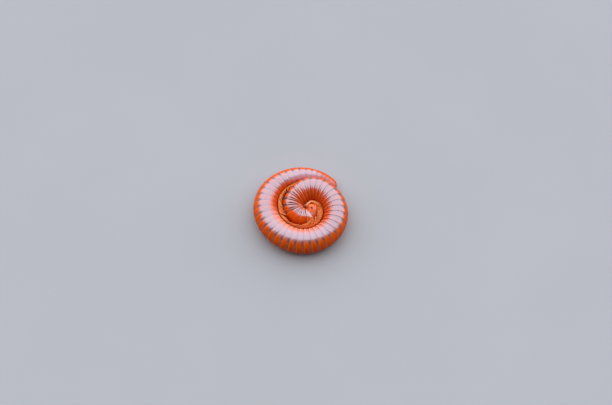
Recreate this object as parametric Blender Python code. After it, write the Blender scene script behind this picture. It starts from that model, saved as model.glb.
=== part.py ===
"""Millipede coiled on its side, life size.

A rusty-orange cylindrical millipede with about fifty body rings lies on its
right flank, curled into a flat two-turn coil with the head in the middle.
Metres, +Z up. The floor is z = 0 and the origin is under the middle of the
coil. A station angle runs along the body in degrees, counter-clockwise seen
from above, from the tail tip near 50 to the mouth near 750: the back faces
away from the coil's middle, the legs face it, the left flank faces up.
"""
import math

import bmesh
import bpy
from mathutils import Vector

MM = 0.001

# ---- driving dimensions, millimetres and degrees --------------------------
BODY_R = 2.413        # radius of the trunk at its thickest
TURN_PITCH = 5.168    # distance from one turn of the coil to the next
TURN_R_180 = 7.79     # radius of curvature at station 180
HOOK_R = 1.80         # radius of the tight bend behind the head
BASE_R = TURN_PITCH / (2.0 * math.pi)
TAIL_TIP = 51.0       # stations of the ends
TAIL_RING = 66.0      # where the last ring ends and the telson starts
COLLUM_BACK = 639.0
COLLUM_FRONT = 662.0
HEAD_STATION = 703.0
RING_LENGTH = 1.545   # of a full-grown ring, along the back
GROOVE = 0.13         # how far a ring's front part sinks under the ring ahead
PINCH_GAP = 0.23      # the belly stays this far from the axis of the hook
JOINT_GAP = 0.30      # between neighbouring lengths of the body
SIDES = 16
SHIFT = (1.395, -0.225)  # brings the coil's middle over the origin

LEG_R = 0.262         # a leg lobe stands for the two legs of its ring
HEAD_D, HEAD_V, HEAD_F, HEAD_B, HEAD_L = 1.56, 1.34, 1.20, 1.75, 1.54


# ---- the coil ---------------------------------------------------------------
def smooth(x):
    x = max(0.0, min(1.0, x))
    return x * x * (3.0 - 2.0 * x)


def hermite(x, x0, x1, y0, y1, m0, m1):
    w = x1 - x0
    t = (x - x0) / w
    return ((2 * t**3 - 3 * t**2 + 1) * y0 + (t**3 - 2 * t**2 + t) * w * m0
            + (3 * t**2 - 2 * t**3) * y1 + (t**3 - t**2) * w * m1)


HOOK_START = 180.0 + 360.0 * (TURN_R_180 - HOOK_R) / TURN_PITCH


def body_radius(d):
    """Half the thickness of the body at station d."""
    if d < 190.0:
        t = max(0.0, (d - 50.0) / 140.0)
        return BODY_R * (0.27 + 0.73 * (1.0 - (1.0 - t) ** 1.3))
    if d > 450.0:
        front = BODY_R * (1.0 - 0.25 * min(1.0, (d - 450.0) / 220.0) ** 0.85)
        return front * (1.0 - 0.13 * smooth((d - 640.0) / 50.0))
    return BODY_R


def turn_radius(d):
    """Distance of the body's axis from the centre of curvature."""
    if d >= HOOK_START:
        return HOOK_R
    x = (d - 185.0) / 65.0
    swell = 0.26 * math.cos(0.5 * math.pi * x) ** 2 if abs(x) < 1.0 else 0.0
    x = (d - 540.0) / 50.0
    swell += 0.15 * math.cos(0.5 * math.pi * x) ** 2 if abs(x) < 1.0 else 0.0
    if d >= 215.0:
        r = TURN_R_180 - TURN_PITCH * (d - 180.0) / 360.0
        x = (d - 452.0) / 60.0
        if abs(x) < 1.0:
            r += 0.40 * math.cos(0.5 * math.pi * x) ** 2
        return r + swell
    r215 = TURN_R_180 - TURN_PITCH * 35.0 / 360.0
    if d >= 150.0:
        return hermite(d, 150.0, 215.0, 8.01, r215, -0.0030, -TURN_PITCH / 360.0) + swell
    if d >= 95.0:
        return hermite(d, 95.0, 150.0, 7.93, 8.01, 0.0010, -0.0030) + swell
    return hermite(d, 50.0, 95.0, 7.66, 7.93, 0.0220, 0.0010)


def axis_height(d):
    """Height of the body's axis: the body lies on the floor, and the thin
    front end is carried a little above it."""
    a = body_radius(d)
    lift = smooth((d - 540.0) / 110.0)
    return a + 0.85 * lift * (BODY_R - a)


def curl_centre(d):
    d = math.radians(min(d, HOOK_START) - 90.0)
    return Vector((BASE_R * math.cos(d) + SHIFT[0], BASE_R * math.sin(d) + SHIFT[1], 0.0))


def back_dir(d):
    d = math.radians(d)
    return Vector((math.cos(d), math.sin(d), 0.0))


def ahead_dir(d):
    d = math.radians(d)
    return Vector((-math.sin(d), math.cos(d), 0.0))


def place(d, r, h, along=0.0):
    """World point (mm) from a station and an offset in its section: r towards
    the back, h towards the left flank, along towards the head."""
    p = curl_centre(d) + back_dir(d) * (turn_radius(d) + r) + ahead_dir(d) * along
    p.z = axis_height(d) + h
    return p


def section(d, shrink=0.0, sides=SIDES):
    """Outline of the body at station d, flat-bottomed, with the belly drawn
    in where the coil is tight."""
    a = body_radius(d) - shrink
    reach = a / math.cos(math.pi / sides)
    belly = min(0.93, (turn_radius(d) - PINCH_GAP) / reach)
    pts = []
    for j in range(sides):
        f = 2.0 * math.pi * (j + 0.5) / sides
        r, h = reach * math.cos(f), reach * math.sin(f)
        if r < 0.0:
            r *= belly
        pts.append((r, h))
    return pts


def ring_ends():
    """Stations of the ring borders, at equal steps along the back that
    shorten towards the tail and the neck."""
    ends, d, travelled = [TAIL_RING], TAIL_RING, 0.0
    step = 0.05
    while d < COLLUM_BACK:
        travelled += (turn_radius(d) + body_radius(d)) * math.radians(step)
        d += step
        full = RING_LENGTH * (0.52 + 0.48 * smooth((d - 55.0) / 75.0))
        full *= 1.0 - 0.16 * smooth((d - 560.0) / 80.0)
        if travelled >= full:
            ends.append(d)
            travelled = 0.0
    ends[-1] = COLLUM_BACK
    return ends


ENDS = ring_ends()
RINGS = len(ENDS) - 1


# ---- mesh helpers -------------------------------------------------------------
def loft(name, loops):
    """Closed mesh through loops of points (mm), with flat ends."""
    bm = bmesh.new()
    rows = [[bm.verts.new(p * MM) for p in loop] for loop in loops]
    n = len(rows[0])
    for lower, upper in zip(rows, rows[1:]):
        for j in range(n):
            k = (j + 1) % n
            bm.faces.new((lower[j], lower[k], upper[k], upper[j]))
    bm.faces.new(list(reversed(rows[0])))
    bm.faces.new(rows[-1])
    bmesh.ops.recalc_face_normals(bm, faces=bm.faces)
    return finish_mesh(name, bm)


def finish_mesh(name, bm):
    mesh = bpy.data.meshes.new(name)
    bm.to_mesh(mesh)
    bm.free()
    mesh.shade_smooth()
    mesh.set_sharp_from_angle(angle=math.radians(38.0))
    return bpy.data.objects.new(name, mesh)


def paint(obj, rgb, roughness):
    mat = bpy.data.materials.new(obj.name + "_surface")
    mat.use_nodes = True
    shader = mat.node_tree.nodes["Principled BSDF"]
    shader.inputs["Base Color"].default_value = (*rgb, 1.0)
    shader.inputs["Roughness"].default_value = roughness
    shader.inputs["Metallic"].default_value = 0.0
    obj.data.materials.clear()
    obj.data.materials.append(mat)


def boolean(target, operation, tool):
    mod = target.modifiers.new(operation.lower(), "BOOLEAN")
    mod.operation = operation
    mod.solver = "EXACT"
    mod.object = tool


def hide_tool(obj):
    obj.hide_render = True
    obj.display_type = "WIRE"
    tools.objects.link(obj)


# ---- scene and collections ------------------------------------------------------
for old in list(bpy.data.objects):
    bpy.data.objects.remove(old, do_unlink=True)
model = bpy.data.collections.new("millipede")
tools = bpy.data.collections.new("millipede_tools")
bpy.context.scene.collection.children.link(model)
bpy.context.scene.collection.children.link(tools)

ORANGE = (0.62, 0.13, 0.022)
AMBER = (0.72, 0.22, 0.06)
DARK = (0.012, 0.010, 0.010)


# ---- legs -----------------------------------------------------------------------
SAMPLES = [TAIL_TIP + 4.0 * k for k in range(int((HEAD_STATION + 30.0 - TAIL_TIP) / 4.0))]


def clearance(point, own):
    """Distance from a point to the skin of every other turn."""
    best = 9.9
    for d in SAMPLES:
        if abs(d - own) > 110.0:
            best = min(best, (point - place(d, 0.0, 0.0)).length - body_radius(d))
    return best


def leg_path(d, side):
    """Points of a folded leg: out of the belly's edge, then up between the
    turns for the left legs (side +1), down for the right ones (-1)."""
    s = body_radius(d) / BODY_R
    shapes = [((-1.90, 0.95), (-2.50, 1.36), (-2.84, 1.86)),
              ((-1.80, 1.05), (-2.32, 1.52), (-2.52, 1.96)),
              ((-1.60, 1.15), (-2.05, 1.66), (-2.16, 2.06))]
    for shape in shapes:
        path = [place(d, r * s, side * h * s) for r, h in shape]
        room = all(clearance(p, d) > LEG_R + 0.17 for p in path[1:])
        if room and min(p.z for p in path) > LEG_R + 0.05:
            return path
    return None


def leg_lobe(d, side):
    path = leg_path(d, side)
    if path is None:
        return None
    along, loops = ahead_dir(d), []
    for k, p in enumerate(path):
        run = (path[min(k + 1, 2)] - path[max(k - 1, 0)]).normalized()
        across = run.cross(along).normalized()
        reach = LEG_R * (1.0 if k < 2 else 0.96) / math.cos(math.pi / 5)
        loops.append([p + (along * math.cos(f) + across * math.sin(f)) * reach
                      for f in (2.0 * math.pi * j / 5 for j in range(5))])
    return loops


def join_lobes(name, stations):
    bm = bmesh.new()
    for d in stations:
        for side in (1, -1):
            loops = leg_lobe(d, side)
            if loops is None:
                continue
            rows = [[bm.verts.new(p * MM) for p in loop] for loop in loops]
            for lower, upper in zip(rows, rows[1:]):
                for j in range(5):
                    k = (j + 1) % 5
                    bm.faces.new((lower[j], lower[k], upper[k], upper[j]))
            bm.faces.new(list(reversed(rows[0])))
            bm.faces.new(rows[-1])
    bmesh.ops.recalc_face_normals(bm, faces=bm.faces)
    obj = finish_mesh(name, bm)
    hide_tool(obj)
    return obj


def gap_angle(d):
    return math.degrees(0.5 * JOINT_GAP / (turn_radius(d) + 0.55 * body_radius(d)))


def leg_stations(first, last):
    """One lobe a ring; where the belly is short the lobes of two or three
    rings run together."""
    out, room = [], 0.0
    for i in range(first, last):
        d = 0.5 * (ENDS[i] + ENDS[i + 1])
        if d < 76.0 or d > 616.0:
            continue
        s = body_radius(d) / BODY_R
        room += max(0.0, turn_radius(d) - 2.55 * s) * math.radians(ENDS[i + 1] - ENDS[i])
        if room > 2.0 * LEG_R + 0.09:
            out.append(d)
            room = 0.0
    return out


# ---- trunk lengths ----------------------------------------------------------------
# A ring runs from its raised hind rim to the narrower part that slides
# under the hind rim of the ring ahead.
RING_PROFILE = ((0.03, 0.0), (0.60, 0.0), (0.97, GROOVE))


def trunk_length(name, first, last):
    d0 = ENDS[first] + gap_angle(ENDS[first])
    d1 = ENDS[last] - gap_angle(ENDS[last])
    loops = []
    for i in range(first, last):
        span = ENDS[i + 1] - ENDS[i]
        for t, sink in RING_PROFILE:
            d = min(max(ENDS[i] + t * span, d0), d1)
            loops.append([place(d, r, h) for r, h in section(d, sink)])
    obj = loft(name, loops)
    boolean(obj, "UNION", join_lobes(name + "_legs", leg_stations(first, last)))
    paint(obj, ORANGE, 0.28)
    model.objects.link(obj)
    return obj


TRUNK_STARTS = (639.0, 592.0, 535.0, 466.0, 392.0, 315.0, 240.0, 160.0, 66.0)
borders = [min(range(RINGS + 1), key=lambda i: abs(ENDS[i] - s)) for s in TRUNK_STARTS]
borders[0], borders[-1] = RINGS, 1
for n in range(8):
    trunk_length("trunk_%d" % (n + 1), borders[n + 1], borders[n])


# ---- tail: the last ring and the blunt telson with its two valves ------------------
def tail():
    a0 = body_radius(TAIL_RING)
    length = math.radians(TAIL_RING - TAIL_TIP) * turn_radius(TAIL_RING)
    loops = []
    for t in (0.05, 0.13, 0.25, 0.42, 0.62, 0.82, 1.0):
        d = TAIL_TIP + t * (TAIL_RING - TAIL_TIP)
        scale = math.sqrt(1.0 - (1.0 - t) ** 2.3)
        loop = []
        for r, h in section(TAIL_RING):
            r, h = r * scale, h * scale
            seam = 0.10 * length * (1.0 - t) * math.exp(-(h / 0.34) ** 2)
            loop.append(place(d, r, h + a0 - body_radius(d), seam))
        loops.append(loop)
    span = ENDS[1] - ENDS[0]
    stop = ENDS[1] - gap_angle(ENDS[1])
    for t, sink in ((0.04, 0.0), (0.60, 0.0), (0.97, GROOVE)):
        d = min(ENDS[0] + t * span, stop)
        loops.append([place(d, r, h) for r, h in section(d, sink)])
    obj = loft("tail", loops)
    paint(obj, ORANGE, 0.28)
    model.objects.link(obj)


tail()


# ---- collum: the smooth shield behind the head --------------------------------------
def collum():
    g = gap_angle(COLLUM_BACK)
    d0, d1 = COLLUM_BACK + g, COLLUM_FRONT
    loops = []
    for t, sink in ((0.0, 0.05), (0.12, 0.0), (0.45, 0.0), (0.80, 0.06), (1.0, 0.16)):
        d = d0 + t * (d1 - d0)
        loops.append([place(d, r, h) for r, h in section(d, sink)])
    obj = loft("collum", loops)
    paint(obj, AMBER, 0.25)
    model.objects.link(obj)


collum()


# ---- head -----------------------------------------------------------------------------
HEAD_U = back_dir(HEAD_STATION)
HEAD_A = ahead_dir(HEAD_STATION)
HEAD_C_R = HOOK_R - 0.165      # from the hook's centre
HEAD_C = place(HEAD_STATION, -0.165, 0.14)
HOOK_C = HEAD_C - HEAD_U * HEAD_C_R


def head_point(d, f, l):
    """Point on the head for a direction: d to the crown, f ahead, l left. In
    front of its middle the head is straight, behind it bends with the neck."""
    reach_d = HEAD_D if d > 0.0 else HEAD_V
    reach_f = HEAD_F if f > 0.0 else HEAD_B
    # the face slopes: full at the crown, drawn forward to the lip below
    face = 1.0 - 0.13 * smooth(d) + 0.05 * smooth(-d)
    # cheeks: the jaw bases bulge at the sides, the crown narrows
    width = HEAD_L * (1.0 - 0.10 * smooth(d * 1.2) - 0.20 * smooth((-d - 0.35) / 0.65))
    lip = 0.10 * math.exp(-(l / 0.34) ** 2) * smooth(-d) * smooth(f)
    turn = HEAD_STATION + math.degrees(min(f, 0.0) * reach_f / HOOK_R)
    return HOOK_C + back_dir(turn) * (HEAD_C_R + d * reach_d) \
        + ahead_dir(turn) * (max(f, 0.0) * reach_f * face + lip) + Vector((0.0, 0.0, l * width))


def ellipsoid(name, centre, axes, radii, u=16, v=10):
    bm = bmesh.new()
    bmesh.ops.create_uvsphere(bm, u_segments=u, v_segments=v, radius=1.0)
    for w in bm.verts:
        p = centre.copy()
        for c, axis, r in zip(w.co, axes, radii):
            p += axis * (c * r)
        w.co = p * MM
    return finish_mesh(name, bm)


def head():
    bm = bmesh.new()
    bmesh.ops.create_uvsphere(bm, u_segments=22, v_segments=14, radius=1.0)
    for w in bm.verts:
        w.co = head_point(*w.co) * MM
    cut = COLLUM_FRONT + 1.35 * gap_angle(COLLUM_FRONT)
    plane = place(cut, 0.0, 0.0)
    whole = bm.verts[:] + bm.edges[:] + bm.faces[:]
    bmesh.ops.bisect_plane(bm, geom=whole, plane_co=plane * MM, plane_no=-ahead_dir(cut),
                           clear_outer=True)
    bmesh.ops.holes_fill(bm, edges=[e for e in bm.edges if e.is_boundary])
    bmesh.ops.recalc_face_normals(bm, faces=bm.faces)
    obj = finish_mesh("head", bm)
    for side in (1, -1):
        where, axes, radii = eye_place(side)
        socket = ellipsoid("eye_socket_%d" % side, where, axes, [r + 0.10 for r in radii])
        hide_tool(socket)
        boolean(obj, "DIFFERENCE", socket)
    paint(obj, AMBER, 0.3)
    model.objects.link(obj)


def eye_place(side):
    """Each eye is a low oval field of lenses on the side of the head."""
    where = head_point(-0.05, -0.16, 0.98 * side)
    where.z -= side * 0.02
    long_axis = (HEAD_A * 0.86 - HEAD_U * 0.5).normalized()
    short_axis = -(HEAD_A * 0.5 + HEAD_U * 0.86).normalized()
    return where, (long_axis, short_axis, Vector((0.0, 0.0, 1.0))), (0.29, 0.21, 0.15)


head()
for eye_name, side in (("eye_left", 1), ("eye_right", -1)):
    where, axes, radii = eye_place(side)
    eye = ellipsoid(eye_name, where, axes, radii, 14, 8)
    paint(eye, DARK, 0.15)
    model.objects.link(eye)


# ---- antennae: seven short joints each, folded round the face to the cheek --------------
# offsets from the head's middle: to the crown, ahead, to the side
ANTENNA_R = 0.255
ANTENNA_ARC = 8          # points on the fold


def antenna_point(t, side):
    """A folded antenna rises from its socket beside the brow, passes round
    the front of the face and lies back along the cheek."""
    turn = math.radians(62.0 + 133.0 * t)
    u = -0.12 + 0.95 * math.cos(turn) - 0.02 * t
    a = -0.02 + 1.15 * math.sin(turn)
    rise = 0.92 + 0.50 * smooth(t / 0.42)
    return HEAD_C + HEAD_U * u + HEAD_A * a + Vector((0.0, 0.0, side * rise))


def antenna(name, side):
    r = ANTENNA_R
    path = [antenna_point(k / (ANTENNA_ARC - 1.0), side) for k in range(ANTENNA_ARC)]
    curve = bpy.data.curves.new(name, "CURVE")
    curve.dimensions = "3D"
    line = curve.splines.new("POLY")
    line.points.add(len(path) - 1)
    for point, p in zip(line.points, path):
        point.co = (*(p * MM), 1.0)
    curve.bevel_depth = r * MM
    curve.bevel_resolution = 2
    curve.use_fill_caps = True
    obj = bpy.data.objects.new(name, curve)
    paint(obj, AMBER, 0.35)
    model.objects.link(obj)


antenna("antenna_left", 1)
antenna("antenna_right", -1)
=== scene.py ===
"""Looks of the coiled millipede: ringed shell, legs, head, eyes and feelers,
built round the fixed frame of its solids. Lengths below are millimetres
unless a name says otherwise, and are scaled to metres when a mesh is made."""
import math

import bpy
import numpy as np
from mathutils import Matrix, Vector


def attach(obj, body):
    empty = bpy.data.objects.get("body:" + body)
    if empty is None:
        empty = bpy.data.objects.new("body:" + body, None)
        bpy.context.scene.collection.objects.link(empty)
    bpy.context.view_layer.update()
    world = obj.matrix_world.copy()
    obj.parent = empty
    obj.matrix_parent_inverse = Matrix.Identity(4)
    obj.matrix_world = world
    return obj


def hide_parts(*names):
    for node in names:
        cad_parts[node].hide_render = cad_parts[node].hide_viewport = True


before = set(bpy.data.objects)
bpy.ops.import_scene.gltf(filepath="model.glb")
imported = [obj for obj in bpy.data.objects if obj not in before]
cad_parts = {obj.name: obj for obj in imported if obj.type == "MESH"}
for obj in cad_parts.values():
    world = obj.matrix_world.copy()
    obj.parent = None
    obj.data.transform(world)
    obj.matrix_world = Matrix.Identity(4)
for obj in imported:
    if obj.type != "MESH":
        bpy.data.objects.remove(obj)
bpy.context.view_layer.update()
MM = 0.001

# ---- the coil, as in the solids -------------------------------------------
BODY_R = 2.413
TURN_PITCH = 5.168
TURN_R_180 = 7.79
HOOK_R = 1.80
BASE_R = TURN_PITCH / (2.0 * math.pi)
TAIL_TIP = 51.0
TAIL_RING = 66.0
COLLUM_BACK = 639.0
COLLUM_FRONT = 662.0
HEAD_STATION = 703.0
RING_LENGTH = 1.545
PINCH_GAP = 0.23
SHIFT = (1.395, -0.225)
HOOK_START = 180.0 + 360.0 * (TURN_R_180 - HOOK_R) / TURN_PITCH


def sm(x, a=0.0, b=1.0):
    x = np.clip((np.asarray(x, float) - a) / (b - a), 0.0, 1.0)
    return x * x * (3.0 - 2.0 * x)


def hermite(x, x0, x1, y0, y1, m0, m1):
    w = x1 - x0
    t = (x - x0) / w
    return ((2 * t**3 - 3 * t**2 + 1) * y0 + (t**3 - 2 * t**2 + t) * w * m0
            + (3 * t**2 - 2 * t**3) * y1 + (t**3 - t**2) * w * m1)


def body_radius(d):
    d = np.asarray(d, float)
    tail = BODY_R * (0.27 + 0.73 * (1.0 - (1.0 - np.clip((d - 50.0) / 140.0, 0.0, 1.0)) ** 1.3))
    front = BODY_R * (1.0 - 0.25 * np.clip((d - 450.0) / 220.0, 0.0, 1.0) ** 0.85)
    front = front * (1.0 - 0.13 * sm(d, 640.0, 690.0))
    return np.where(d < 190.0, tail, np.where(d > 450.0, front, BODY_R))


def turn_radius(d):
    d = np.asarray(d, float)
    spiral = TURN_R_180 - TURN_PITCH * (d - 180.0) / 360.0
    x = np.clip((d - 452.0) / 60.0, -1.0, 1.0)
    spiral = spiral + 0.40 * np.cos(0.5 * math.pi * x) ** 2
    r215 = TURN_R_180 - TURN_PITCH * 35.0 / 360.0
    mid = hermite(d, 150.0, 215.0, 8.01, r215, -0.0030, -TURN_PITCH / 360.0)
    late = hermite(d, 95.0, 150.0, 7.93, 8.01, 0.0010, -0.0030)
    end = hermite(d, 50.0, 95.0, 7.66, 7.93, 0.0220, 0.0010)
    swell = 0.26 * np.cos(0.5 * math.pi * np.clip((d - 185.0) / 65.0, -1.0, 1.0)) ** 2
    swell = swell + 0.15 * np.cos(0.5 * math.pi * np.clip((d - 540.0) / 50.0, -1.0, 1.0)) ** 2
    return swell + np.where(d >= HOOK_START, HOOK_R,
                    np.where(d >= 215.0, spiral,
                             np.where(d >= 150.0, mid, np.where(d >= 95.0, late, end))))


def axis_height(d):
    a = body_radius(d)
    return a + 0.85 * sm(d, 540.0, 650.0) * (BODY_R - a)


def back_dir(d):
    d = np.radians(np.asarray(d, float))
    return np.stack([np.cos(d), np.sin(d), np.zeros_like(d)], -1)


def ahead_dir(d):
    d = np.radians(np.asarray(d, float))
    return np.stack([-np.sin(d), np.cos(d), np.zeros_like(d)], -1)


def place(d, r, h, along=0.0):
    """World points for stations d and offsets: r to the back, h to the left
    flank (up), along to the head."""
    d, r, h, along = np.broadcast_arrays(*(np.asarray(v, float) for v in (d, r, h, along)))
    c = np.radians(np.minimum(d, HOOK_START) - 90.0)
    centre = np.stack([BASE_R * np.cos(c) + SHIFT[0], BASE_R * np.sin(c) + SHIFT[1],
                       np.zeros_like(c)], -1)
    p = centre + back_dir(d) * (turn_radius(d) + r)[..., None] + ahead_dir(d) * along[..., None]
    p[..., 2] = axis_height(d) + h
    return p


def ring_ends():
    ends, d, travelled, step = [TAIL_RING], TAIL_RING, 0.0, 0.05
    while d < COLLUM_BACK:
        travelled += float(turn_radius(d) + body_radius(d)) * math.radians(step)
        d += step
        full = RING_LENGTH * (0.52 + 0.48 * float(sm(d, 55.0, 130.0)))
        full *= 1.0 - 0.16 * float(sm(d, 560.0, 640.0))
        if travelled >= full:
            ends.append(d)
            travelled = 0.0
    ends[-1] = COLLUM_BACK
    return np.array(ends)


ENDS = ring_ends()
RINGS = len(ENDS) - 1
rng = np.random.default_rng(11)


# ---- mesh helpers -----------------------------------------------------------
def make_mesh(name, verts, faces, attrs=None, smooth=True):
    """verts in mm; faces is a list of index arrays, each (n, 3) or (n, 4)."""
    verts = np.asarray(verts, np.float32) * MM
    loops = np.concatenate([np.asarray(f, np.int32).ravel() for f in faces])
    sizes = np.concatenate([np.full(len(f), np.asarray(f).shape[1], np.int32) for f in faces])
    starts = np.concatenate([[0], np.cumsum(sizes)[:-1]]).astype(np.int32)
    mesh = bpy.data.meshes.new(name)
    mesh.vertices.add(len(verts))
    mesh.vertices.foreach_set("co", verts.ravel())
    mesh.loops.add(len(loops))
    mesh.loops.foreach_set("vertex_index", loops)
    mesh.polygons.add(len(sizes))
    mesh.polygons.foreach_set("loop_start", starts)
    mesh.update(calc_edges=True)
    mesh.validate()
    mesh.polygons.foreach_set("use_smooth", np.full(len(mesh.polygons), smooth, bool))
    for key, values in (attrs or {}).items():
        layer = mesh.attributes.new(key, "FLOAT", "POINT")
        layer.data.foreach_set("value", np.asarray(values, np.float32).ravel())
    obj = bpy.data.objects.new(name, mesh)
    bpy.context.scene.collection.objects.link(obj)
    return obj


def signed_volume(pts, faces):
    """Volume inside closed faces, above zero where they face outwards."""
    total = 0.0
    for f in faces:
        for k in range(1, f.shape[1] - 1):
            a, b, c = pts[f[:, 0]], pts[f[:, k]], pts[f[:, k + 1]]
            total += float(np.einsum("ij,ij->i", a, np.cross(b, c)).sum()) / 6.0
    return total


def grid_faces(rows, cols, base=0, wrap=True, flip=False):
    """Quads over rows x cols points, the columns wrapping round."""
    i = np.arange(rows - 1)[:, None]
    j = np.arange(cols if wrap else cols - 1)[None, :]
    k = (j + 1) % cols
    a, b, c, d = i * cols + j, i * cols + k, (i + 1) * cols + k, (i + 1) * cols + j
    quads = np.stack(np.broadcast_arrays(a, b, c, d), -1).reshape(-1, 4) + base
    return quads[:, ::-1] if flip else quads


def cap(ring_start, cols, centre_index, flip=False):
    j = np.arange(cols)
    tris = np.stack([ring_start + j, ring_start + (j + 1) % cols, np.full(cols, centre_index)], -1)
    return tris if flip else tris[:, ::-1]


class Batch:
    """Gathers many small closed meshes into one."""

    def __init__(self):
        self.v, self.f3, self.f4, self.attrs, self.n = [], [], [], {}, 0

    def grid(self, pts, attrs=None):
        """pts (rows, cols, 3): a tube with closed ends, faced outwards."""
        rows, cols = pts.shape[:2]
        both = np.array([pts[0].mean(0), pts[-1].mean(0)])
        flat = np.concatenate([pts.reshape(-1, 3), both])
        quads = grid_faces(rows, cols)
        tris = np.concatenate([cap(0, cols, rows * cols), cap((rows - 1) * cols, cols, rows * cols + 1, True)])
        if signed_volume(flat - flat[0], (quads, tris)) < 0.0:
            quads, tris = quads[:, ::-1], tris[:, ::-1]
        self.f4.append(quads + self.n)
        self.f3.append(tris + self.n)
        self.v.append(flat)
        for key, val in (attrs or {}).items():
            val = np.broadcast_to(np.asarray(val, float), (rows, cols)).reshape(-1) \
                if np.ndim(val) != 1 else np.repeat(np.asarray(val, float), cols)
            self.attrs.setdefault(key, []).append(np.concatenate([val, [val[0], val[-1]]]))
        self.n += rows * cols + 2

    def build(self, name):
        faces = [np.concatenate(f) for f in (self.f4, self.f3) if f]
        attrs = {k: np.concatenate(v) for k, v in self.attrs.items()}
        return make_mesh(name, np.concatenate(self.v), faces, attrs)


def tube(path, radii, sides, ref, squash=1.0):
    """Rings of points round a path (n, 3). ref keeps the rings from turning;
    squash flattens them across ref."""
    path = np.asarray(path, float)
    run = np.gradient(path, axis=0)
    run /= np.linalg.norm(run, axis=1, keepdims=True) + 1e-12
    side = np.cross(run, ref)
    side /= np.linalg.norm(side, axis=1, keepdims=True) + 1e-12
    other = np.cross(side, run)
    f = np.arange(sides) * 2 * math.pi / sides
    radii = np.asarray(radii, float)[:, None, None]
    return path[:, None] + radii * (np.cos(f)[None, :, None] * side[:, None] * squash
                                    + np.sin(f)[None, :, None] * other[:, None])


def spline(points, n):
    """A smooth curve through points, n samples, even in length."""
    p = np.asarray(points, float)
    ext = np.vstack([2 * p[0] - p[1], p, 2 * p[-1] - p[-2]])
    out = []
    for i in range(len(p) - 1):
        a, b, c, d = ext[i:i + 4]
        t = np.linspace(0, 1, 24, endpoint=False)[:, None]
        out.append(0.5 * (2 * b + (c - a) * t + (2 * a - 5 * b + 4 * c - d) * t**2
                          + (3 * b - a - 3 * c + d) * t**3))
    out = np.vstack(out + [p[-1:]])
    run = np.concatenate([[0], np.cumsum(np.linalg.norm(np.diff(out, axis=0), axis=1))])
    want = np.linspace(0, run[-1], n)
    return np.stack([np.interp(want, run, out[:, k]) for k in range(out.shape[1])], -1)


# ---- materials ----------------------------------------------------------------
class Shader:
    """A short way to write node trees."""

    def __init__(self, name):
        self.mat = bpy.data.materials.new(name)
        self.mat.use_nodes = True
        self.t = self.mat.node_tree
        self.bsdf = self.t.nodes["Principled BSDF"]

    def node(self, kind, **props):
        n = self.t.nodes.new(kind)
        for k, v in props.items():
            setattr(n, k, v)
        return n

    def link(self, out, socket):
        self.t.links.new(out, socket)

    def put(self, socket, value):
        if isinstance(value, bpy.types.NodeSocket):
            self.link(value, socket)
        elif isinstance(value, (tuple, list)) and len(value) == 3 and socket.type == "RGBA":
            socket.default_value = (*value, 1.0)
        else:
            socket.default_value = value

    def attr(self, name):
        return self.node("ShaderNodeAttribute", attribute_type="GEOMETRY",
                         attribute_name=name).outputs["Fac"]

    def obj(self):
        return self.node("ShaderNodeTexCoord").outputs["Object"]

    def math(self, op, a, b=0.0, c=0.0, clamp=False):
        n = self.node("ShaderNodeMath", operation=op, use_clamp=clamp)
        for s, v in zip(n.inputs, (a, b, c)):
            self.put(s, v)
        return n.outputs[0]

    def ramp(self, x, a, b, lo=0.0, hi=1.0):
        n = self.node("ShaderNodeMapRange", interpolation_type="SMOOTHSTEP")
        for s, v in zip(("Value", "From Min", "From Max", "To Min", "To Max"), (x, a, b, lo, hi)):
            self.put(n.inputs[s], v)
        return n.outputs[0]

    def band(self, x, a, b, c, d):
        return self.math("MULTIPLY", self.ramp(x, a, b), self.ramp(x, c, d, 1.0, 0.0))

    def mix(self, f, a, b, mode="MIX"):
        n = self.node("ShaderNodeMix", data_type="RGBA", blend_type=mode)
        n.clamp_factor = True
        self.put(n.inputs[0], f)
        self.put(n.inputs[6], a)
        self.put(n.inputs[7], b)
        return n.outputs[2]

    def noise(self, scale, detail=3.0, rough=0.55, vec=None, stretch=None):
        n = self.node("ShaderNodeTexNoise")
        vec = vec or self.obj()
        if stretch:
            m = self.node("ShaderNodeMapping")
            self.link(vec, m.inputs["Vector"])
            m.inputs["Scale"].default_value = stretch
            vec = m.outputs[0]
        self.link(vec, n.inputs["Vector"])
        n.inputs["Scale"].default_value = scale
        n.inputs["Detail"].default_value = detail
        n.inputs["Roughness"].default_value = rough
        return n.outputs["Fac"]

    def bump(self, height, strength, distance):
        n = self.node("ShaderNodeBump")
        n.inputs["Strength"].default_value = strength
        n.inputs["Distance"].default_value = distance
        self.link(height, n.inputs["Height"])
        self.link(n.outputs[0], self.bsdf.inputs["Normal"])
        return n

    def finish(self, color, rough, ior=1.55, spec=0.5, coat=0.0, coat_rough=0.15, sheen=0.0,
               coat_ior=1.5):
        self.put(self.bsdf.inputs["Base Color"], color)
        self.put(self.bsdf.inputs["Roughness"], rough)
        self.bsdf.inputs["IOR"].default_value = ior
        self.bsdf.inputs["Specular IOR Level"].default_value = spec
        self.put(self.bsdf.inputs["Coat Weight"], coat)
        self.bsdf.inputs["Coat Roughness"].default_value = coat_rough
        self.bsdf.inputs["Coat IOR"].default_value = coat_ior
        self.bsdf.inputs["Sheen Weight"].default_value = sheen
        return self.mat


GLOSS = dict(ior=1.4, spec=0.3, coat_rough=0.15, coat_ior=2.2)


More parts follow.
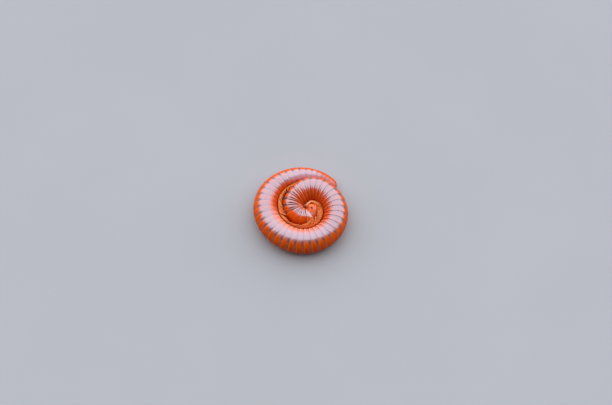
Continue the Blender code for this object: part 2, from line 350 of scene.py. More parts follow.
def shell_material():
    """The rings: rusty orange plate with an amber hind rim, a greyish front
    part, and a pale pinkish painted highlight on both flanks."""
    s = Shader("millipede_ring_shell")
    t, phi, no = s.attr("ring_t"), s.attr("ring_phi"), s.attr("ring_no")
    cloud = s.noise(900.0, 4.0)
    fine = s.noise(5200.0, 3.0)
    wob = s.math("MULTIPLY_ADD", cloud, 0.10, -0.05)
    tt = s.math("ADD", t, wob)
    side = s.math("ADD", s.math("ABSOLUTE", phi), s.math("MULTIPLY_ADD", s.noise(1500.0, 2.0), 18.0, -9.0))
    front = s.ramp(tt, 0.54, 0.68)                      # 1 on the front part of the ring
    rim = s.ramp(t, 0.01, 0.09, 1.0, 0.0)               # 1 on the hind rim
    end = s.ramp(no, RINGS - 2.0, RINGS + 0.5)
    # painted highlight: the edges of the pale flank band, shifted along the body to where the sky's sheen falls
    high = s.math("SUBTRACT", side, s.attr("highlight_band_upper"))
    low = s.math("ADD", side, s.attr("highlight_band_lower"))
    flank = s.math("MULTIPLY", s.ramp(high, 46.0, 74.0), s.ramp(low, 90.0, 130.0, 1.0, 0.0))
    flank = s.math("MULTIPLY", flank, s.math("MULTIPLY_ADD", end, -0.55, 0.88))
    belly = s.ramp(low, 98.0, 136.0)
    plate = s.mix(s.ramp(cloud, 0.35, 0.7), (0.72, 0.068, 0.001), (0.82, 0.098, 0.002))
    first = s.ramp(no, 4.0, 6.5, 1.0, 0.0)               # 1 on the first rings behind the head
    inner, bent = s.attr("inner_turn"), s.attr("bent")
    dull = s.mix(s.ramp(cloud, 0.4, 0.65), (0.58, 0.088, 0.026), (0.46, 0.076, 0.026))
    # painted shade: the front parts go dark brown where the inner turn is bent hardest and the rings crowd
    dull = s.mix(bent, dull, (0.20, 0.062, 0.040))
    dull = s.mix(first, dull, (0.70, 0.070, 0.006))
    plate = s.mix(s.ramp(side, 6.0, 44.0, 0.55, 0.0), plate, (0.56, 0.042, 0.001))
    back = s.mix(front, plate, dull)
    back = s.mix(s.math("MULTIPLY", rim, 0.6), back, (0.92, 0.20, 0.035))
    # painted highlight colour of the flank band, for the hind and front parts of each ring
    pale = s.mix(front, (0.41, 0.118, 0.080), (0.33, 0.112, 0.098))
    pale = s.mix(s.math("MULTIPLY", bent, 0.60), pale, (0.70, 0.140, 0.056))
    # painted highlight: paler rose patches on the flank, low on the outer turn, behind the collum and on the tail,
    # where the sheen spreads wider
    highlight_patch_mask, hind = s.attr("painted_highlight_soft"), s.attr("painted_highlight_tail")
    pale = s.mix(s.math("MULTIPLY", s.math("MAXIMUM", highlight_patch_mask, hind), 0.26), pale, (0.66, 0.36, 0.34))
    # painted highlight: a pale lavender-rose streak low on the tail's inner flank
    tail_highlight_paint = s.math("MULTIPLY", hind, s.band(side, 98.0, 122.0, 150.0, 166.0))
    pale = s.mix(s.math("MULTIPLY", tail_highlight_paint, 0.80), pale, (0.70, 0.42, 0.46))
    pale = s.mix(s.math("MULTIPLY", rim, 0.5), pale, (0.56, 0.18, 0.10))
    # the flank band lays the painted highlight colour over the ring's own colours
    color = s.mix(flank, back, pale)
    under = s.mix(front, (0.78, 0.088, 0.010), (0.62, 0.070, 0.011))
    # painted highlight: a light salmon tint at the inner edge of the belly under the highlight patches
    painted_sheen_tint = s.mix(front, (0.98, 0.310, 0.165), (0.92, 0.245, 0.120))
    under = s.mix(s.math("MULTIPLY", highlight_patch_mask, s.ramp(side, 104.0, 122.0)), under, painted_sheen_tint)
    color = s.mix(belly, color, under)
    # where the rings are crowded they show as two pleats each, with painted shade in the creases between
    pleat = s.math("ADD", s.band(tt, 0.38, 0.45, 0.57, 0.65), s.ramp(tt, 0.79, 0.87))
    pleat = s.math("ADD", pleat, s.ramp(t, 0.03, 0.11, 1.0, 0.0), clamp=True)
    packed = s.math("MULTIPLY", s.ramp(s.attr("packed"), 0.33, 0.50), pleat)
    # painted shade in the pleat creases, deep brown over the flank, red toward the belly, strongest where the bend is
    # hardest
    pleat_shade_paint = s.mix(s.ramp(low, 84.0, 122.0), (0.19, 0.048, 0.034), (0.50, 0.048, 0.007))
    color = s.mix(s.math("MULTIPLY", packed, s.math("MULTIPLY_ADD", bent, 0.14, 0.72)), color, pleat_shade_paint)
    # dark smudge where the repugnatorial gland lies under the front part
    gx = s.math("DIVIDE", s.math("SUBTRACT", t, 0.74), 0.16)
    gy = s.math("DIVIDE", s.math("SUBTRACT", high, 56.0), 11.0)
    gd = s.math("ADD", s.math("MULTIPLY", gx, gx), s.math("MULTIPLY", gy, gy))
    gland = s.math("MULTIPLY", s.ramp(gd, 0.10, 1.6, 1.0, 0.0), s.ramp(no, 4.0, 6.0))
    gland = s.math("MULTIPLY", gland, s.math("SUBTRACT", 1.0, end))
    color = s.mix(s.math("MULTIPLY", gland, 0.62), color, (0.085, 0.052, 0.056))
    color = s.mix(s.ramp(fine, 0.55, 0.8, 0.0, 0.22), color, (0.36, 0.06, 0.010))
    groove = s.band(t, 0.495, 0.515, 0.530, 0.555)
    color = s.mix(s.math("MULTIPLY", groove, 0.22), color, (0.24, 0.05, 0.018))
    rough = s.math("ADD", s.ramp(front, 0.0, 1.0, 0.17, 0.26), s.math("MULTIPLY", fine, 0.08))
    # fine cross wrinkles on the front part, lengthwise furrows low on the flank
    wr = s.node("ShaderNodeTexWave", wave_type="BANDS", bands_direction="X", wave_profile="SIN")
    comb = s.node("ShaderNodeCombineXYZ")
    s.link(s.math("MULTIPLY_ADD", cloud, 0.06, t), comb.inputs[0])
    s.link(comb.outputs[0], wr.inputs["Vector"])
    wr.inputs["Scale"].default_value = 8.0
    wrinkle = s.math("MULTIPLY", wr.outputs["Fac"], s.math("MULTIPLY", front, 0.5))
    fu = s.node("ShaderNodeTexWave", wave_type="BANDS", bands_direction="X", wave_profile="SIN")
    comb2 = s.node("ShaderNodeCombineXYZ")
    s.link(s.math("MULTIPLY_ADD", t, 2.5, phi), comb2.inputs[0])
    s.link(comb2.outputs[0], fu.inputs["Vector"])
    fu.inputs["Scale"].default_value = 0.055
    low_flank = s.math("MULTIPLY", s.ramp(side, 96.0, 120.0), s.math("SUBTRACT", 1.0, front))
    low_flank = s.math("MULTIPLY", low_flank, s.ramp(no, RINGS - 1.0, RINGS + 0.4, 1.0, 0.0))
    furrow = s.math("MULTIPLY", fu.outputs["Fac"], low_flank)
    h = s.math("ADD", wrinkle, s.math("ADD", furrow, s.math("MULTIPLY", fine, 0.35)))
    s.bump(h, 0.35, 0.00004)
    # polished over the flank, duller on the back and next to the legs; the
    # front parts, which slide under the ring ahead, are polished all round
    shine = s.math("MULTIPLY", s.ramp(high, 44.0, 66.0), s.ramp(low, 96.0, 138.0, 1.0, 0.0))
    shine = s.math("MAXIMUM", shine, s.math("MULTIPLY", s.math("MULTIPLY", front, s.ramp(side, 80.0, 100.0, 1.0, 0.0)),
                                            s.math("MULTIPLY_ADD", inner, 0.32, 0.07)))
    shine = s.math("MAXIMUM", shine, s.math("MULTIPLY", s.math("MULTIPLY", highlight_patch_mask, s.ramp(side, 90.0, 110.0)), 0.30))
    shine = s.math("MULTIPLY", shine, s.math("MULTIPLY_ADD", packed, -0.8, 1.0))
    shine = s.math("MULTIPLY", shine, s.math("MULTIPLY_ADD", gland, -0.4, 1.0))
    shine = s.math("MULTIPLY", shine, s.math("MULTIPLY_ADD", end, -0.65, 1.0))
    shine = s.math("MULTIPLY", shine, s.math("MULTIPLY_ADD", bent, -0.22, 1.0))
    shine = s.math("MULTIPLY", shine, 0.94)
    return s.finish(color, rough, ior=1.33, spec=0.05, coat=shine, coat_rough=0.22, coat_ior=2.4)


def shield_material():
    """The collum: one smooth plate, amber along both margins."""
    s = Shader("millipede_shield")
    phi, tone = s.attr("ring_phi"), s.attr("tone")
    cloud, fine = s.noise(1100.0, 4.0), s.noise(6000.0, 3.0)
    side = s.math("ADD", s.math("ABSOLUTE", phi), s.math("MULTIPLY_ADD", cloud, 20.0, -10.0))
    flank = s.band(side, 44.0, 76.0, 98.0, 120.0)
    c = s.mix(s.ramp(cloud, 0.35, 0.7), (0.88, 0.100, 0.006), (0.95, 0.145, 0.012))
    # painted highlight: the same pale flank band as on the rings
    c = s.mix(s.math("MULTIPLY", flank, 0.75), c, (0.46, 0.110, 0.055))
    c = s.mix(tone, c, (0.98, 0.34, 0.090))
    c = s.mix(s.ramp(fine, 0.58, 0.82, 0.0, 0.25), c, (0.40, 0.05, 0.010))
    s.bump(s.math("MULTIPLY_ADD", fine, 0.5, cloud), 0.2, 0.00003)
    shine = s.math("MULTIPLY_ADD", s.band(side, 36.0, 60.0, 104.0, 126.0), 0.80, 0.08)
    return s.finish(c, s.math("MULTIPLY_ADD", fine, 0.10, 0.17), ior=1.45, spec=0.45, coat=shine,
                    coat_rough=0.18, coat_ior=2.4)


def leg_material():
    s = Shader("millipede_leg")
    u, k = s.attr("leg_u"), s.attr("leg_joint")
    cloud = s.noise(2500.0, 3.0)
    base = s.mix(s.ramp(cloud, 0.3, 0.7), (1.0, 0.155, 0.018), (1.0, 0.220, 0.036))
    c = s.mix(s.ramp(k, 0.70, 1.0, 0.0, 0.8), base, (1.0, 0.36, 0.11))
    c = s.mix(s.ramp(u, 0.0, 0.25, 0.30, 0.0), c, (0.80, 0.12, 0.02))
    c = s.mix(s.ramp(u, 0.93, 1.0, 0.0, 0.7), c, (0.45, 0.10, 0.02))
    s.bump(s.noise(9000.0, 2.0), 0.2, 0.00002)
    s.bsdf.inputs["Subsurface Weight"].default_value = 0.6
    s.bsdf.inputs["Subsurface Scale"].default_value = 0.0005
    s.bsdf.inputs["Subsurface Radius"].default_value = (1.0, 0.45, 0.2)
    return s.finish(c, s.math("MULTIPLY_ADD", cloud, 0.12, 0.32), ior=1.5, spec=0.25, coat=0.14,
                    coat_rough=0.2)


def head_material(name="millipede_head"):
    s = Shader(name)
    tone, dark, painted_highlight = s.attr("tone"), s.attr("dark"), s.attr("painted_highlight")
    cloud = s.noise(1400.0, 4.0)
    fine = s.noise(7000.0, 3.0)
    c = s.mix(s.ramp(cloud, 0.35, 0.68), (0.94, 0.098, 0.007), (0.98, 0.155, 0.018))
    c = s.mix(tone, c, (0.98, 0.31, 0.090))
    # painted highlight on the back of the cheek
    c = s.mix(s.math("MULTIPLY", painted_highlight, 0.85), c, (0.72, 0.36, 0.33))
    c = s.mix(dark, c, (0.20, 0.040, 0.012))
    s.bump(s.math("MULTIPLY_ADD", fine, 0.5, cloud), 0.25, 0.00003)
    return s.finish(c, s.math("MULTIPLY_ADD", fine, 0.12, 0.20), coat=s.math("MULTIPLY_ADD", painted_highlight, 0.75, 0.18), **GLOSS)


def antenna_material():
    s = Shader("millipede_antenna")
    u, k = s.attr("leg_u"), s.attr("leg_joint")
    cloud = s.noise(3000.0, 3.0)
    c = s.mix(s.ramp(cloud, 0.3, 0.7), (0.97, 0.21, 0.045), (0.98, 0.30, 0.085))
    c = s.mix(s.ramp(k, 0.5, 1.0), c, (0.98, 0.48, 0.20))
    c = s.mix(s.ramp(u, 0.72, 0.98, 0.0, 0.6), c, (0.42, 0.12, 0.04))
    s.bump(s.noise(11000.0, 2.0), 0.25, 0.00002)
    return s.finish(c, s.math("MULTIPLY_ADD", cloud, 0.15, 0.30), ior=1.6, spec=0.5, coat=0.3,
                    coat_rough=0.25)


def eye_material():
    s = Shader("millipede_eye")
    cloud = s.noise(4000.0, 2.0)
    c = s.mix(s.ramp(cloud, 0.3, 0.7), (0.100, 0.026, 0.011), (0.200, 0.055, 0.020))
    return s.finish(c, s.math("MULTIPLY_ADD", cloud, 0.08, 0.14), ior=1.40, spec=0.3, coat=0.12,
                    coat_rough=0.08)


def claw_material():
    s = Shader("millipede_claw")
    c = s.mix(s.noise(6000.0), (0.10, 0.022, 0.006), (0.26, 0.075, 0.02))
    return s.finish(c, 0.22, ior=1.6, spec=0.5, coat=0.4, coat_rough=0.1)


def floor_material():
    s = Shader("floor_board")
    n = s.noise(35.0, 3.0)
    c = s.mix(s.ramp(n, 0.2, 0.8), (0.425, 0.362, 0.314), (0.435, 0.372, 0.324))
    s.bump(s.noise(1200.0, 3.0), 0.03, 0.0001)
    return s.finish(c, 0.9, ior=1.3, spec=0.0)


# ---- ring shell ------------------------------------------------------------------
SIDES = 96
# (t along the ring from its hind rim, height over the body's radius, and how
# much of the pleat between crowded rings falls there)
RING = ((0.045, -0.105, 0.6), (-0.015, -0.074, 0.5), (-0.030, -0.048, 0.3), (-0.028, -0.018, 0.1),
        (-0.010, -0.001, 0.0), (0.03, 0.004, 0.0), (0.10, 0.010, 0.0), (0.22, 0.013, 0.0),
        (0.34, 0.010, 0.0), (0.43, 0.003, 0.25), (0.490, -0.007, 0.8), (0.525, -0.012, 1.0),
        (0.560, -0.009, 0.8), (0.62, -0.007, 0.15), (0.74, -0.009, 0.0), (0.86, -0.016, 0.45),
        (0.950, -0.052, 0.9))
FAN = (472.0, 506.0, 562.0, 590.0)          # stations where the inner turn is bent hardest


def fan(d):
    return sm(d, FAN[0], FAN[1]) * (1.0 - sm(d, FAN[2], FAN[3]))


def outline(d, dr, phi):
    """Section offsets (r, h) at stations d for angles phi from the back."""
    a = body_radius(d) + dr
    belly = np.minimum(0.93, (turn_radius(d) - PINCH_GAP) / a)
    r = a * np.cos(phi)
    r = np.where(r < 0, r * belly, r)
    return r, a * np.sin(phi)


def ring_shell():
    phi = np.radians((np.arange(SIDES) + 0.5) * 360.0 / SIDES)
    phi_deg = np.degrees(phi)
    phi_deg = np.where(phi_deg > 180, phi_deg - 360, phi_deg)
    rows, att_t, att_n, att_s, att_d = [], [], [], [], []
    # telson: a blunt dome with the two valves' seam across it
    a0 = float(body_radius(TAIL_RING))
    length = math.radians(TAIL_RING - TAIL_TIP) * float(turn_radius(TAIL_RING))
    dome = [0.02, 0.05, 0.09, 0.14, 0.20, 0.28, 0.37, 0.47, 0.58, 0.69, 0.78]
    for t in dome:
        d = TAIL_TIP + t * (TAIL_RING - TAIL_TIP)
        scale = math.sqrt(1.0 - (1.0 - t) ** 2.3)
        r, h = outline(TAIL_RING, 0.0, phi)
        r, h = r * scale, h * scale
        lips = 0.07 * np.exp(-((np.abs(h) - 0.13) / 0.085) ** 2) * sm(0.62 - t, 0.0, 0.4)
        seam = length * (1.0 - t) * 0.10 * np.exp(-(h / 0.34) ** 2) + 0.16 * np.exp(-(h / 0.035) ** 2) * sm(0.66 - t, 0.0, 0.3)
        rows.append(place(np.full(SIDES, d), r, h + a0 - float(body_radius(d)), seam - lips))
        att_t.append(np.full(SIDES, 0.25 + 0.2 * t))
        att_n.append(np.full(SIDES, RINGS + 1.0))
        att_s.append(np.zeros(SIDES))
        att_d.append(np.full(SIDES, d))
    for t, dr in ((0.90, -0.055), (0.985, -0.12)):
        d = TAIL_TIP + t * (TAIL_RING - TAIL_TIP)
        r, h = outline(TAIL_RING, dr, phi)
        rows.append(place(np.full(SIDES, d), r, h + a0 - float(body_radius(d))))
        att_t.append(np.full(SIDES, t * 0.9))
        att_n.append(np.full(SIDES, RINGS + 1.0))
        att_s.append(np.zeros(SIDES))
        att_d.append(np.full(SIDES, d))
    for i in range(RINGS):
        span = ENDS[i + 1] - ENDS[i]
        number = RINGS - i + 1              # counted from the head, the collum is 1
        for t, dr, pleat in RING:
            d = ENDS[i] + t * span
            a, turn = float(body_radius(d)), float(turn_radius(d))
            k = a / BODY_R
            packed = 1.0 - (turn + a * np.cos(phi)) / (turn + a)
            packed = packed + 0.20 * float(fan(d)) * sm(np.abs(phi_deg), 30.0, 58.0)
            sink = dr * (0.35 + 0.65 * k) - (0.075 + 0.095 * float(fan(d))) * pleat * sm(packed, 0.30, 0.60)
            # where the bend is hardest the rings lean, the back edge behind
            lean = np.tan(np.radians(14.0 * float(fan(d)))) * a * np.cos(phi)
            dd = d - np.degrees(lean / (turn + np.maximum(a * np.cos(phi), -0.5 * turn)))
            r, h = outline(dd, sink, phi)
            att_s.append(np.clip(packed, 0, 1))
            rows.append(place(dd, r, h))
            att_t.append(np.full(SIDES, t))
            att_n.append(np.full(SIDES, number))
            att_d.append(np.full(SIDES, d))
    # neck: carries on under the collum into the head
    for k, d in enumerate((COLLUM_BACK + 1.0, COLLUM_BACK + 6.0, COLLUM_FRONT - 2.0, COLLUM_FRONT + 6.0)):
        r, h = outline(d, -0.19 - 0.05 * k, phi)
        rows.append(place(np.full(SIDES, d), r, h))
        att_t.append(np.full(SIDES, 0.9))
        att_n.append(np.full(SIDES, 1.0))
        att_s.append(np.zeros(SIDES))
        att_d.append(np.full(SIDES, d))
    pts = np.array(rows)
    pts[..., 2] = np.maximum(pts[..., 2], 0.0)
    d = np.array(att_d)
    # the painted highlight band's upper and lower edge wander along the body, degrees
    upper = (4.0 * (1.0 - sm(d, 190.0, 215.0)) - 8.0 * sm(d, 305.0, 330.0) + 26.0 * sm(d, 545.0, 572.0)
             - 6.0 * sm(d, 590.0, 615.0))
    lower = (-24.0 * (1.0 - sm(d, 130.0, 190.0)) - 26.0 * (1.0 - sm(d, 95.0, 150.0)) + 16.0 * sm(d, 465.0, 490.0) * (1.0 - sm(d, 520.0, 545.0))
             - 8.0 * sm(d, 560.0, 600.0))
    upper = upper + 9.0 * (1.0 - sm(d, 130.0, 165.0)) + 6.0 * (1.0 - sm(d, 66.0, 92.0))
    # masks for the painted highlight patches: the outer turn's lower part and the part behind the collum, then the
    # tail
    highlight_patch_mask = sm(d, 180.0, 215.0) * (1.0 - sm(d, 300.0, 335.0)) + sm(d, 520.0, 550.0)
    hind = 1.0 - sm(d, 112.0, 142.0)
    inner = sm(d, 335.0, 385.0) * (1.0 - sm(d, 555.0, 580.0))
    b = Batch()
    b.grid(pts, {"ring_t": np.array(att_t), "ring_phi": np.broadcast_to(phi_deg, pts.shape[:2]),
                 "ring_no": np.array(att_n), "packed": np.array(att_s), "highlight_band_upper": upper,
                 "highlight_band_lower": lower, "painted_highlight_soft": highlight_patch_mask, "painted_highlight_tail": hind, "inner_turn": inner,
                 "bent": fan(d)})
    return b.build("ring_shell")


shell = ring_shell()
shell.data.materials.append(shell_material())
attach(shell, "root")
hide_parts("trunk_1", "trunk_2", "trunk_3", "trunk_4", "trunk_5", "trunk_6", "trunk_7",
            "trunk_8", "tail")

# ---- legs ----------------------------------------------------------------------
SAMPLE_D = np.arange(TAIL_TIP + 2.0, HEAD_STATION + 2.0, 3.0)
SAMPLE_P = place(SAMPLE_D, 0.0, 0.0)
SAMPLE_A = body_radius(SAMPLE_D)
JOINTS = 7


def leg_profile():
    """(u along the leg, radius factor, joint mark)"""
    out = []
    lengths = np.array([0.10, 0.09, 0.19, 0.19, 0.12, 0.13, 0.18])
    edges = np.concatenate([[0], np.cumsum(lengths / lengths.sum())])
    for k in range(JOINTS):
        a, b = edges[k], edges[k + 1]
        taper = 1.0 - 0.085 * k
        for f, w, m in ((0.0, 0.74, 1.0), (0.14, 0.90, 0.35), (0.80, 1.10, 0.0)):
            out.append((a + f * (b - a), w * taper, m))
    out.append((0.985, 0.36, 0.6))
    return np.array(out)


LEG = leg_profile()


def push_out(p, r, own):
    """Moves path points (n, 3) out of the body turns, keeping height >= r."""
    for _ in range(4):
        gap = p[:, None] - SAMPLE_P[None]
        dist = np.linalg.norm(gap, axis=2)
        need = SAMPLE_A[None] + r[:, None] - dist
        worst = np.argmax(need, axis=1)
        i = np.arange(len(p))
        move = np.maximum(need[i, worst], 0.0)
        move[:2] = 0.0
        p = p + gap[i, worst] / (dist[i, worst][:, None] + 1e-9) * move[:, None]
        p[:, 2] = np.maximum(p[:, 2], r + 0.01)
    return p


def leg_path(d, side, lean, reach, lift, pit):
    """A folded leg: out of the belly, up against it, then laid inward and
    forward over the next turn. Directions are (to the back, up, ahead) in
    the curved frame."""
    a, turn = float(body_radius(d)), float(turn_radius(d))
    s = a / BODY_R
    size = 2.55 * s ** 0.85 * reach
    rad = 0.150 * s ** 0.7
    belly = min(0.93, (turn - PINCH_GAP) / a)
    hug = a + rad + 0.01
    ang = math.radians(3.0)
    r, h = -hug * math.cos(ang) * belly, hug * math.sin(ang)
    inward = -0.18 - 0.36 * float(sm(d, 200.0, 265.0)) - 0.10 * float(sm(d, 290.0, 340.0))
    inward += 0.34 * float(sm(d, 375.0, 430.0))
    inward -= 0.62 * float(1.0 - sm(d, 180.0, 206.0))
    inward += 0.16 * float(sm(d, 196.0, 212.0) * (1.0 - sm(d, 250.0, 275.0)))
    if side < 0:
        inward -= 0.40 * float(1.0 - sm(d, 320.0, 360.0)) + 0.20 * float(1.0 - sm(d, 180.0, 206.0))
    rise = 0.48 - 0.34 * float(sm(d, 350.0, 410.0))
    early = float(sm(d, 395.0, 440.0) * (1.0 - sm(d, 490.0, 520.0)))
    steps = 60
    ds = size / steps
    pts, dd = [(r, h, d)], d
    for i in range(steps):
        u = (i + 1) / steps
        up_part = np.array([math.sin(ang) * belly, math.cos(ang), 0.12])
        laid = np.array([inward + 0.10 * lift, rise + 0.20 * lift, lean])
        tip = np.array([inward - 0.15, 0.02 + 0.15 * lift, lean * 0.9])
        w1 = float(sm(u, 0.12 + 0.45 * pit - 0.10 * early, 0.34 + 0.45 * pit - 0.14 * early))
        w2 = float(sm(u, 0.62, 0.92)) * (1 - pit)
        run = up_part * (1 - w1) + laid * w1
        run = run * (1 - w2) + tip * w2
        run /= np.linalg.norm(run)
        if w1 < 0.5:
            ang += ds / hug
        r += run[0] * ds
        h += run[1] * ds
        dd += math.degrees(run[2] * ds / max(0.5, turn + r))
        pts.append((r, h, dd))
    pts = np.array(pts)
    u = np.linspace(0, 1, steps + 1)
    p = place(pts[:, 2], pts[:, 0], side * pts[:, 1])
    want = np.clip(LEG[:, 0], 0, 1)
    return np.stack([np.interp(want, u, p[:, k]) for k in range(3)], -1), rad


def legs(name, side):
    b, claws = Batch(), Batch()
    for i in range(1, RINGS):
        number = RINGS - i + 1
        d0, d1 = ENDS[i], ENDS[i + 1]
        pairs = (0.5,) if number <= 4 else (0.28, 0.74)
        for f in pairs:
            d = d0 + f * (d1 - d0)
            if d < 72.0:
                continue
            wave = math.sin(d * 0.085 + (0.8 if side < 0 else 0.0))
            lean = 0.85 + 0.45 * (1.0 - float(sm(d, 200.0, 265.0))) + 0.18 * wave + rng.normal(0, 0.09)
            reach = 1.0 - 0.12 * float(sm(d, 320.0, 345.0)) - 0.12 * float(sm(d, 345.0, 400.0)) + rng.normal(0, 0.04)
            lift = rng.normal(0, 0.25)
            pit = float(sm(d, 500.0, 545.0))
            if pit > 0:
                reach *= 1.0 - 0.40 * pit
                lean *= 1.0 - 0.7 * pit
            path, rad = leg_path(d, side, lean, reach, lift, pit)
            radii = rad * LEG[:, 1]
            path = push_out(path, radii, d)
            ref = ahead_dir(d) * 0.6 + np.array([0.0, 0.0, 0.8 * side])
            pts = tube(path, radii, 8, ref)
            b.grid(pts, {"leg_u": LEG[:, 0], "leg_joint": LEG[:, 2]})
            tip = path[-1]
            run = path[-1] - path[-3]
            run /= np.linalg.norm(run)
            hook = np.stack([tip - run * 0.03, tip + run * 0.05, tip + run * 0.11 - np.array([0, 0, 0.015 * side]),
                             tip + run * 0.16 - np.array([0, 0, 0.045 * side])])
            hook[:, 2] = np.maximum(hook[:, 2], 0.03)
            claws.grid(tube(hook, np.array([0.036, 0.030, 0.018, 0.004]) * (rad / 0.15), 5, ref))
    return b.build("legs_" + name), claws.build("claws_" + name)


leg_mat, claw_mat = leg_material(), claw_material()
for word, side in (("left", 1), ("right", -1)):
    leg, claw = legs(word, side)
    leg.data.materials.append(leg_mat)
    claw.data.materials.append(claw_mat)
    for piece in (leg, claw):
        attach(piece, "root")

# ---- collum --------------------------------------------------------------------
def collum():
    """The shield behind the head: a curved plate with thickness, widest over
    the back and narrowing to a rounded lobe on each side."""
    n_phi, n_t = 96, 18
    phi = np.radians(np.linspace(-122, 122, n_phi))
    d_back, d_front = COLLUM_BACK + 0.6, COLLUM_FRONT + 2.2
    u = np.abs(phi) / phi.max()
    f = np.linspace(0, 1, n_t)
    back = d_back + 3.0 * sm(u, 0.62, 1.0)
    front = d_front - 11.0 * sm(u, 0.34, 0.90) - 5.0 * sm(u, 0.84, 1.0) ** 1.2
    outer, inner = [], []
    for ff in f:
        d = back + ff * (front - back)
        edge = math.sin(math.pi * min(1.0, ff * 6.0 + 0.001) / 2) if ff < 1 / 6 else 1.0
        lip = 0.028 * (math.exp(-((ff - 0.04) / 0.05) ** 2) + 0.8 * math.exp(-((ff - 0.95) / 0.05) ** 2))
        dr = 0.010 * edge + lip - 0.10 * float(sm(ff, 0.45, 1.0)) - 0.015
        r, h = outline(d, dr, phi)
        outer.append(place(d, r, h))
        r, h = outline(d, dr - 0.085, phi)
        inner.append(place(d, r, h))
    outer, inner = np.array(outer), np.array(inner)
    top = outer.reshape(-1, 3)
    bot = inner.reshape(-1, 3)
    n = len(top)
    quads = grid_faces(n_t, n_phi, 0, wrap=False, flip=True)
    low = grid_faces(n_t, n_phi, n, wrap=False)
    rim = []
    loop = ([(0, j) for j in range(n_phi)] + [(i, n_phi - 1) for i in range(1, n_t)]
            + [(n_t - 1, j) for j in range(n_phi - 2, -1, -1)] + [(i, 0) for i in range(n_t - 2, 0, -1)])
    idx = [i * n_phi + j for i, j in loop]
    for a, b in zip(idx, idx[1:] + idx[:1]):
        rim.append((a, b, b + n, a + n))
    tone = np.zeros((n_t, n_phi))
    tone += np.exp(-((f[:, None] - 0.02) / 0.07) ** 2) * 0.75 + np.exp(-((f[:, None] - 1.0) / 0.15) ** 2) * 0.9
    tone = np.clip(tone, 0, 1).ravel()
    tone = np.concatenate([tone, tone])
    verts = np.vstack([top, bot])
    deg = np.broadcast_to(np.degrees(phi)[None], (n_t, n_phi)).ravel()
    return make_mesh("collum_shield", verts, [quads, low, np.array(rim)],
                     {"tone": tone, "ring_phi": np.concatenate([deg, deg])})


head_mat = head_material()
plate = collum()
plate.data.materials.append(shield_material())
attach(plate, "root")
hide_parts("collum")

# ---- head ------------------------------------------------------------------------
HEAD_D, HEAD_V, HEAD_F, HEAD_B, HEAD_L = 1.56, 1.34, 1.20, 1.75, 1.54
HEAD_U = back_dir(HEAD_STATION)
HEAD_A = ahead_dir(HEAD_STATION)
HEAD_C = place(HEAD_STATION, -0.165, 0.14)
UP = np.array([0.0, 0.0, 1.0])
HEAD_C_R = HOOK_R - 0.165
HOOK_C = HEAD_C - HEAD_U * HEAD_C_R


def head_point(d, f, l, swell=0.0):
    """Points on the head for unit directions: d crown, f ahead, l left."""
    d, f, l = (np.asarray(v, float) for v in (d, f, l))
    rd = np.where(d > 0, HEAD_D, HEAD_V)
    rf = np.where(f > 0, HEAD_F, HEAD_B)
    face = 1.0 - 0.13 * sm(d) + 0.05 * sm(-d)
    width = HEAD_L * (1.0 - 0.10 * sm(d * 1.2) - 0.20 * sm(-d, 0.35, 1.0))
    lip = 0.10 * np.exp(-(l / 0.34) ** 2) * sm(-d) * sm(f)
    k = 1.0 + swell
    # in front of the middle the head is straight, behind it bends with the neck
    bend = -np.minimum(f, 0.0) * rf * k / HOOK_R
    u, a = HEAD_C_R + d * rd * k, np.maximum(f, 0.0) * rf * face * k + lip
    turn = np.radians(HEAD_STATION) - bend
    out = np.stack([np.cos(turn), np.sin(turn), np.zeros_like(turn)], -1)
    ahead = np.stack([-np.sin(turn), np.cos(turn), np.zeros_like(turn)], -1)
    return HOOK_C + out * u[..., None] + ahead * a[..., None] + UP * (l * width * k)[..., None]


def bell(x, c, w):
    return np.exp(-((x - c) / w) ** 2)


